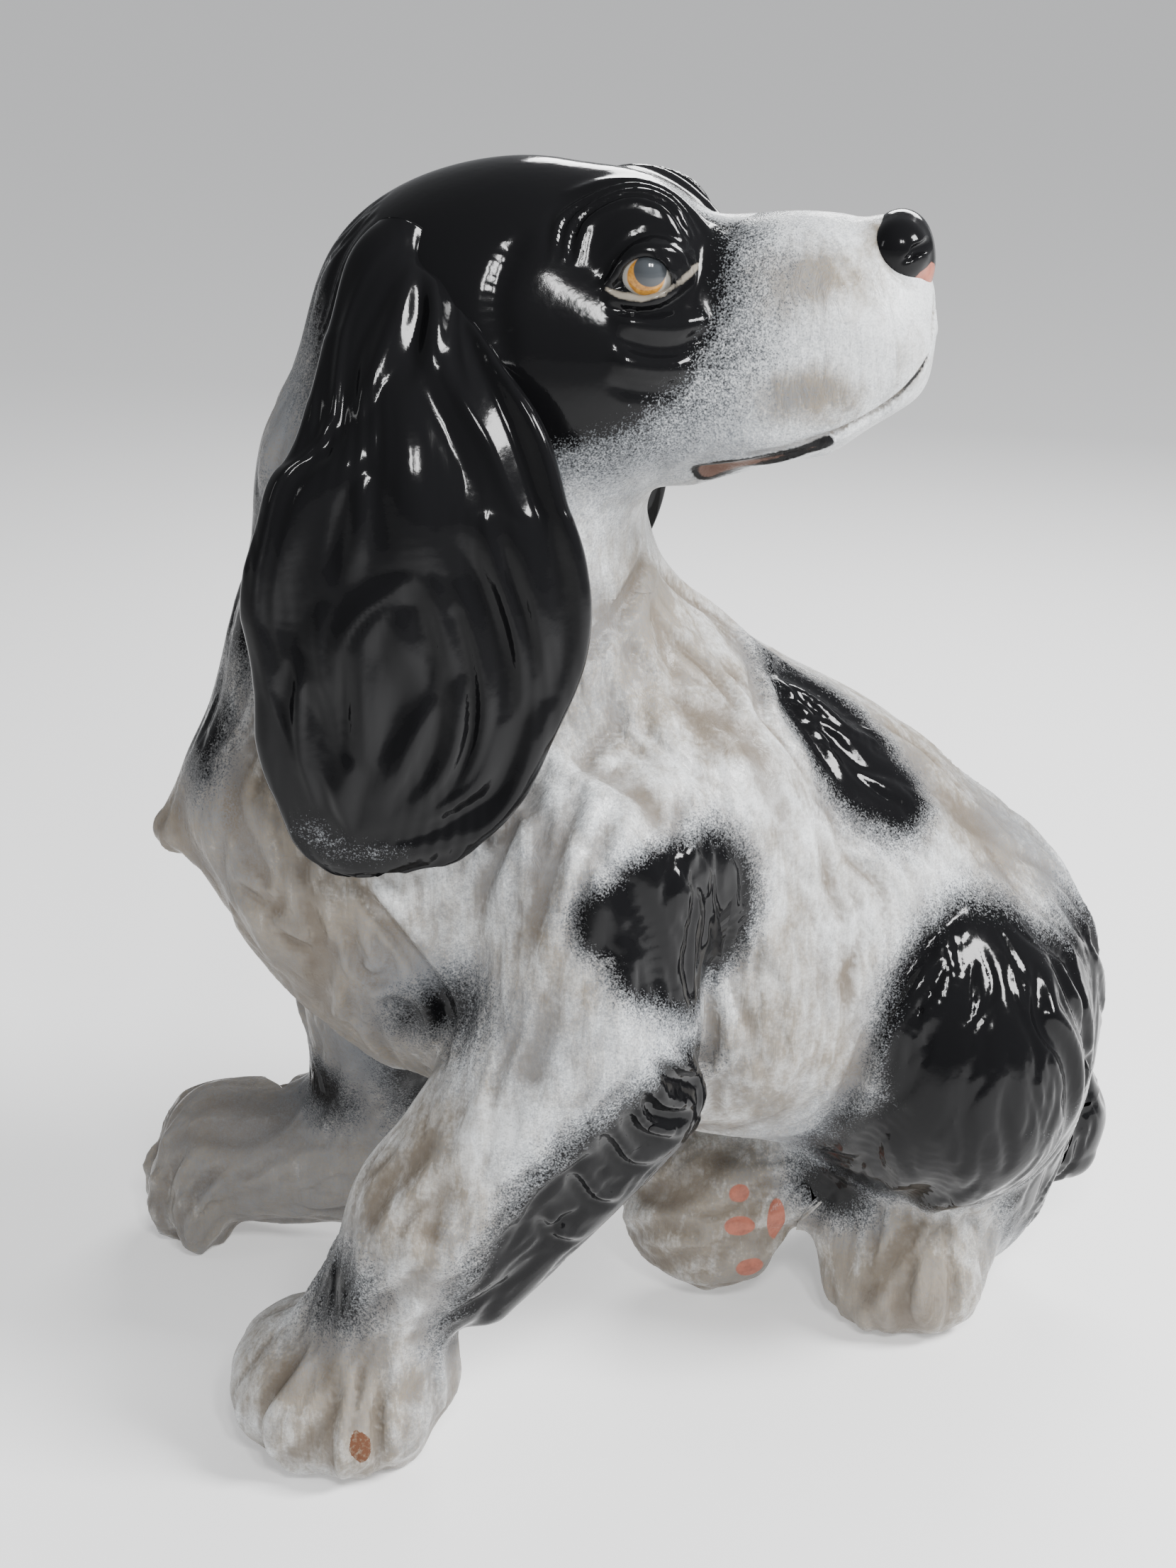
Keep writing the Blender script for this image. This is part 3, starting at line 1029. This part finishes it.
RIGHT_EAR = [
    (-54, -22, 396, 9, 8), (-58, -31, 386, 14, 8), (-56, -42, 372, 22, 7), (-53, -53, 357, 30, 6.5),
    (-50, -62, 339, 40, 6), (-50, -67, 322, 46, 6), (-50, -69, 305, 50, 6), (-51, -70, 284, 50, 6),
    (-55, -71, 262, 45, 6), (-60, -71, 244, 40, 6), (-64, -70, 230, 33, 5.5), (-67, -69, 220, 25, 5),
    (-68, -68, 213.5, 15, 4), (-68, -68, 210.5, 5, 2.5),
]
LEFT_EAR = [
    (-30, 22, 396, 9, 8), (-28, 30, 386, 15, 8), (-22, 42, 370, 23, 7), (-16, 53, 352, 30, 6.5),
    (-12, 61, 332, 36, 6), (-12, 66, 310, 39, 6), (-16, 69, 288, 37, 6), (-20, 71, 266, 33, 6),
    (-23, 71, 246, 27, 5.5), (-25, 70, 231, 20, 4.5), (-26, 69, 223, 12, 3.5), (-26, 69, 220, 4, 2.5),
]
EAR_WEAR = [
    ((-80, -72, 224), (12, 12, 8), 5, (1, 0, -0.6)), ((-64, -72, 220), (14, 12, 5), 5),
]


# --- eyes and nose -----------------------------------------------------------------------

PUPIL = (0.27, 0.94, 0.17)                 # ways that they face, on the head's axes
IRIS = (0.10, 0.98, -0.02)


def eye(node, side, material):
    """A glossy ball with its painted pupil and iris, as distances from their middles."""
    rings, around = EYE_RINGS, EYE_AROUND
    polar = np.linspace(0, math.pi, rings + 2)[1:-1, None]
    turn = np.linspace(0, 2 * math.pi, around, endpoint=False)[None, :]
    look = unit(np.array([PUPIL[0], side * PUPIL[1], PUPIL[2]]) @ HEAD)
    spin = axes(look)
    ball = (np.cos(polar)[..., None] * np.ones_like(turn)[..., None] * spin[0]
            + (np.sin(polar) * np.cos(turn))[..., None] * spin[1]
            + (np.sin(polar) * np.sin(turn))[..., None] * spin[2]).reshape(-1, 3)
    ball = np.vstack([ball, look, -look])
    bulge = 0.35 * np.exp(-((ball @ look - 1) / 0.09) ** 2)
    centre = on_head((EYE_CENTRE[0], side * EYE_CENTRE[1], EYE_CENTRE[2]))
    points = centre + ball * (EYE_RADIUS + bulge[:, None])
    ring = np.arange(around)
    after = (ring + 1) % around
    base = np.arange(rings - 1)[:, None] * around
    quads = np.stack([base + ring, base + around + ring, base + around + after, base + after], 2)
    last, front, rear = (rings - 1) * around, len(points) - 2, len(points) - 1
    fans = np.vstack([np.column_stack([ring, after, np.full(around, front)]),
                      np.column_stack([last + after, last + ring, np.full(around, rear)])])
    iris = unit(np.array([IRIS[0], side * IRIS[1], IRIS[2]]) @ HEAD)
    layers = {"pupil": np.arccos(np.clip(ball @ look, -1, 1)) * EYE_RADIUS,
              "iris": np.arccos(np.clip(ball @ iris, -1, 1)) * EYE_RADIUS}
    piece = mesh_piece(node + "_ball", points, [quads.reshape(-1, 4), fans], layers)
    return finish_piece(piece, node, material)


def nose(node, material):
    """The nose pad: a broad top, a narrow front and two comma-shaped nostrils."""
    centre = on_head((118, 0, 5))
    clay = Clay(centre - 26, centre + 26, NOSE_GRID)
    clay.ball(on_head((118, 0, 9.5)), (9.0, 13.6, 9.8), HEAD)
    clay.ball(on_head((120, 0, 2)), (6.8, 9, 9), HEAD, 5)
    for side in (-1, 1):
        clay.ball(on_head((118, side * 8.5, 8)), (8, 6.4, 8.4), HEAD, 3)
        nostril = on_head((128.5, side * 5.5, 9), (123, side * 12.5, 8.5))
        clay.cone(*nostril, 2.1, 1.5, 1.2, carve=True)
        tail_of_nostril = on_head((124, side * 12, 8.5), (119.5, side * 15.5, 5.5))
        clay.cone(*tail_of_nostril, 1.3, 0.7, 1.0, carve=True)
    clay.press(stroke(on_head((127, 0, 16), (129, 0, 8), (127.6, 0, 0), (126, 0, -7)), 0.9, 1.0))
    points, quads = clay.skin()
    local = (points - HEAD_CENTRE) @ HEAD.T
    layers = paint(points)
    layers["groove"] = np.zeros(len(points))
    layers["line"] = np.full(len(points), -FULL)
    low = -(local[:, 2] - 3.4 + 0.35 * np.abs(local[:, 1] + 5)) / 0.7
    layers["pad"] = np.clip(np.minimum(low, (5.6 - np.abs(local[:, 1] + 4.5)) / 0.7), -FULL, FULL)
    layers["ink"] = np.full(len(points), FULL)
    piece = mesh_piece(node + "_skin", points, [quads], layers, vertex_normals(points, quads))
    return finish_piece(piece, node, material)


# --- materials ---------------------------------------------------------------------------


class Nodes:
    """A short way to write a node material."""

    def __init__(self, name):
        self.material = bpy.data.materials.new(name)
        self.material.use_nodes = True
        self.tree = self.material.node_tree
        self.shader = self.tree.nodes["Principled BSDF"]
        self.place = self.add("ShaderNodeTexCoord").outputs["Object"]

    def add(self, kind, **settings):
        node = self.tree.nodes.new(kind)
        for key, value in settings.items():
            setattr(node, key, value)
        return node

    def set(self, socket, value):
        if hasattr(value, "is_output"):
            self.tree.links.new(value, socket)
        else:
            socket.default_value = value

    def math(self, operation, a, b=0.0, clamp=False):
        node = self.add("ShaderNodeMath", operation=operation, use_clamp=clamp)
        self.set(node.inputs[0], a)
        self.set(node.inputs[1], b)
        return node.outputs[0]

    def sum(self, *terms, offset=0.0):
        """The terms' values times their weights, added up."""
        total = offset
        for value, weight in terms:
            node = self.add("ShaderNodeMath", operation="MULTIPLY_ADD")
            self.set(node.inputs[0], value)
            self.set(node.inputs[1], weight)
            self.set(node.inputs[2], total)
            total = node.outputs[0]
        return total

    def noise(self, size_mm, detail=2.0, rough=0.5, distortion=0.0, tall=1.0):
        """Noise in lumps of that size, drawn out upwards by the factor tall."""
        node = self.add("ShaderNodeTexNoise")
        squeeze = self.add("ShaderNodeVectorMath", operation="MULTIPLY")
        self.set(squeeze.inputs[0], self.place)
        squeeze.inputs[1].default_value = (1, 1, 1 / tall)
        self.set(node.inputs["Vector"], squeeze.outputs[0])
        node.inputs["Scale"].default_value = 1.0 / (size_mm * METRES)
        node.inputs["Detail"].default_value = detail
        node.inputs["Roughness"].default_value = rough
        node.inputs["Distortion"].default_value = distortion
        return node.outputs["Fac"]

    def layer(self, name):
        return self.add("ShaderNodeAttribute", attribute_name=name).outputs["Fac"]

    def ramp(self, value, low, high, start=0.0, stop=1.0):
        node = self.add("ShaderNodeMapRange", clamp=True)
        for socket, number in zip(node.inputs, (value, low, high, start, stop)):
            self.set(socket, number)
        return node.outputs[0]

    def mix(self, share, a, b):
        node = self.add("ShaderNodeMix", data_type="RGBA")
        self.set(node.inputs["Factor"], share)
        self.set(node.inputs[6], a)
        self.set(node.inputs[7], b)
        return node.outputs[2]

    def bump(self, height, strength, distance_mm, under=None):
        node = self.add("ShaderNodeBump")
        node.inputs["Strength"].default_value = strength
        node.inputs["Distance"].default_value = distance_mm * METRES
        self.set(node.inputs["Height"], height)
        if under is not None:
            self.set(node.inputs["Normal"], under)
        return node.outputs[0]

    def finish(self, color, rough, normal):
        self.set(self.shader.inputs["Base Color"], color)
        self.set(self.shader.inputs["Roughness"], rough)
        self.set(self.shader.inputs["Normal"], normal)
        return self.material


WHITE = (0.64, 0.655, 0.66, 1)
COOL_GREY = (0.17, 0.185, 0.205, 1)
BEIGE = (0.235, 0.198, 0.148, 1)
DIRT = (0.12, 0.098, 0.075, 1)
BLACK_GLAZE = (0.0045, 0.0045, 0.005, 1)
PINK = (0.36, 0.125, 0.085, 1)
DEEP_PINK = (0.24, 0.09, 0.065, 1)
LIP_RED = (0.13, 0.075, 0.058, 1)
LID_GREY = (0.19, 0.17, 0.14, 1)
TERRACOTTA = (0.105, 0.045, 0.024, 1)


def painted_glaze():
    """White tin glaze, washed and stained, with sprayed black patches and worn spots."""
    n = Nodes("painted_glaze")
    grain = n.noise(0.6, 2, 0.6)
    speck = n.noise(1.3, 3, 0.6)
    grit = n.noise(3.2, 4, 0.65)
    wander = n.noise(10, 3, 0.5)
    blotch = n.noise(22, 4, 0.6, 0.4)
    cloud = n.noise(60, 3, 0.5, 0.2)
    streak = n.noise(3.4, 4, 0.6, 0.5, tall=4.0)

    wash = n.sum((n.layer("stain"), 0.24), (cloud, 1.3), (blotch, 1.7), (streak, 1.2), (speck, 0.5))
    color = n.mix(n.ramp(wash, 1.9, 2.75, 0.0, 0.95), WHITE, BEIGE)
    color = n.mix(n.ramp(wash, 2.6, 3.4, 0.0, 0.6), color, DIRT)
    haze = n.sum((grain, 1.8), (speck, 0.9), (wander, 0.8), (blotch, 0.6))
    color = n.mix(n.ramp(haze, 1.75, 2.6, 0.0, 0.5), color, COOL_GREY)
    dirt = n.math("MULTIPLY", n.ramp(n.layer("groove"), 0.1, 1.5), n.ramp(blotch, 0.25, 0.6, 0.45, 1.0))
    color = n.mix(n.math("MULTIPLY", dirt, 0.9), color, DIRT)
    freckle = n.ramp(n.sum((grit, 1.0), (speck, 0.6)), 1.06, 1.16, 0.0, 0.55)
    color = n.mix(freckle, color, DIRT)

    spray = n.sum((grain, 4.0), (speck, 1.8), (wander, 1.2), offset=-3.5)
    smudge = n.math("ADD", n.layer("smudge"), spray)
    color = n.mix(n.ramp(smudge, -1.0, 2.2, 0.0, 0.72), color, COOL_GREY)
    ink = n.math("ADD", n.layer("ink"), spray)
    color = n.mix(n.ramp(ink, -2.5, 0.2, 0.0, 0.72), color, COOL_GREY)
    black = n.ramp(ink, -1.0, 0.8)
    color = n.mix(black, color, BLACK_GLAZE)
    brush = n.sum((speck, 1.2), (grit, 1.2), offset=-1.2)
    color = n.mix(n.ramp(n.math("ADD", n.layer("lid"), brush), -0.3, 0.6, 0.0, 0.9), color, LID_GREY)
    color = n.mix(n.ramp(n.math("ADD", n.layer("line"), brush), -0.2, 0.5), color, BLACK_GLAZE)
    color = n.mix(n.ramp(n.math("ADD", n.layer("mouth"), brush), -0.2, 0.6), color, LIP_RED)

    edge = n.sum((wander, 0.8), (grit, 0.8), offset=-0.8)
    pad = n.ramp(n.math("ADD", n.layer("pad"), edge), -0.3, 0.3)
    color = n.mix(pad, color, n.mix(n.ramp(grit, 0.4, 0.7), PINK, DEEP_PINK))
    chip = n.ramp(n.sum((n.layer("chip"), 1.0), (grit, 5.0), (speck, 3.0), offset=-4.0), -0.1, 0.1)
    color = n.mix(chip, color, n.mix(n.ramp(speck, 0.5, 0.85), TERRACOTTA, BEIGE))

    rough = n.ramp(n.sum((blotch, 0.7), (wander, 0.3)), 0.38, 0.62, 0.20, 0.46)
    bare = n.ramp(black, 0.0, 1.0, 1.0, 0.0)
    rough = n.sum((n.math("MULTIPLY", rough, bare), 1.0), (black, 0.10))
    rough = n.math("MAXIMUM", rough, n.math("MULTIPLY", chip, 0.85))
    peel = n.bump(n.noise(6.5, 2, 0.5), 0.14, 0.7)
    brushed = n.bump(n.math("MULTIPLY", streak, bare), 0.6, 0.9, peel)
    pits = n.bump(n.noise(1.5, 3, 0.6), 0.12, 0.18, brushed)
    n.shader.inputs["IOR"].default_value = 1.27
    return n.finish(color, rough, pits)


def eye_glaze():
    n = Nodes("eye_glaze")
    streak = n.noise(1.2, 3, 0.6)
    iris_edge = n.math("ADD", n.layer("iris"), n.math("MULTIPLY", streak, 0.8))
    pupil_edge = n.math("ADD", n.layer("pupil"), n.math("MULTIPLY", streak, 0.3))
    amber = n.mix(n.ramp(streak, 0.35, 0.7), (0.50, 0.24, 0.035, 1), (0.26, 0.10, 0.012, 1))
    color = n.mix(n.ramp(iris_edge, 6.0, 6.5), amber, (0.34, 0.33, 0.30, 1))
    color = n.mix(n.ramp(pupil_edge, 5.0, 5.3), (0.040, 0.045, 0.050, 1), color)
    n.set(n.shader.inputs["Base Color"], color)
    n.shader.inputs["Roughness"].default_value = 0.07
    n.shader.inputs["IOR"].default_value = 1.52
    return n.material


# --- assembly ------------------------------------------------------------------------------


def sculpt():
    coarse = Surface(dog)
    scout = coarse.clay.skin()[0]
    bare = scout[(on_face(scout) < 0) & (scout[:, 2] > 6)]
    marks = np.vstack(
        face_marks(coarse) + coat_marks(coarse)
        + [fur_marks(coarse, bare, 120, (45, 95), (4.2, 6.0), (2.0, 3.4), 0.45),
           fur_marks(coarse, bare, 120, (40, 80), (4.0, 5.6), (-2.8, -1.4), 0.45),
           fur_marks(coarse, bare, 480, (26, 64), (1.8, 2.7), (1.2, 2.7), 0.40),
           fur_marks(coarse, bare, 1700, (16, 48), (1.1, 1.6), (0.6, 1.4), 0.35)])
    glaze = painted_glaze()
    for node, slot in (("torso", "white_glaze"), ("head", "black_glaze"),
                       ("left_foreleg", "white_glaze"), ("right_foreleg", "white_glaze"),
                       ("left_hind_leg", "black_glaze"), ("right_hind_leg", "white_glaze"),
                       ("tail", "black_glaze")):
        step = FINE if node in ("head", "tail") else MEDIUM
        casting(node, scout, marks, step * (1), glaze)
    detail = 1.0
    ear("right_ear", RIGHT_EAR, vec(0, -1, 0), glaze, detail)
    ear("left_ear", LEFT_EAR, vec(0, 1, 0), glaze, detail)
    eyes = eye_glaze()
    eye("left_eye", 1, eyes)
    eye("right_eye", -1, eyes)
    nose("nose_pad", glaze)


def flat_material(name, color, rough):
    material = bpy.data.materials.new(name)
    material.use_nodes = True
    shader = material.node_tree.nodes["Principled BSDF"]
    shader.inputs["Base Color"].default_value = color
    shader.inputs["Roughness"].default_value = rough
    return material


def soft_box(name, place, target, size, power, color=(1, 1, 1)):
    """A rectangular studio light, given in millimetres, that shines at target."""
    light = bpy.data.lights.new(name, "AREA")
    light.shape = "RECTANGLE"
    light.size, light.size_y = size[0] * METRES, size[1] * METRES
    light.energy = power
    light.color = color
    lamp = bpy.data.objects.new(name, light)
    lamp.location = to_scene(place)
    aim = Vector(np.asarray(target, float) - np.asarray(place, float))
    lamp.rotation_euler = aim.to_track_quat("-Z", "Y").to_euler()
    bpy.context.scene.collection.objects.link(lamp)


def studio():
    mesh = bpy.data.meshes.new("floor")
    half = 40.0
    mesh.from_pydata([(-half, -half, 0), (half, -half, 0), (half, half, 0), (-half, half, 0)], [],
                     [(0, 1, 2, 3)])
    floor = bpy.data.objects.new("floor", mesh)
    paper = flat_material("floor", (0.84, 0.84, 0.84, 1), 0.8)
    paper.node_tree.nodes["Principled BSDF"].inputs["Emission Color"].default_value = (1, 1, 1, 1)
    paper.node_tree.nodes["Principled BSDF"].inputs["Emission Strength"].default_value = 0.36
    floor.data.materials.append(paper)
    bpy.context.scene.collection.objects.link(floor)

    world = bpy.data.worlds.new("studio")
    world.use_nodes = True
    sky = world.node_tree.nodes["Background"]
    sky.inputs["Color"].default_value = (0.94, 0.96, 1.0, 1)
    sky.inputs["Strength"].default_value = 0.32
    bpy.context.scene.world = world

    middle = (0, 20, 200)
    soft_box("key", (900, -350, 1000), middle, (420, 320), 34)
    for across in (60, 230):                                # a window with two panes
        soft_box("window", (across, -950, 950), middle, (90, 200), 5.6)
    soft_box("back", (300, 1000, 800), middle, (700, 300), 12)
    soft_box("side", (-1000, -300, 700), middle, (120, 300), 0.8)


def camera():
    """The display view: level with the chest's side, looking down by 20 degrees."""
    down = math.radians(20)
    distance, target = 900.0, vec(0, 0, 215)
    data = bpy.data.cameras.new("camera")
    data.lens = 63.5
    data.sensor_width = 36.0
    data.clip_end = 20
    eye_point = bpy.data.objects.new("camera", data)
    eye_point.location = to_scene(target + distance * vec(0, -math.cos(down), math.sin(down)))
    eye_point.rotation_euler = (math.pi / 2 - down, 0, 0)
    bpy.context.scene.collection.objects.link(eye_point)
    bpy.context.scene.camera = eye_point


sculpt()
studio()
camera()
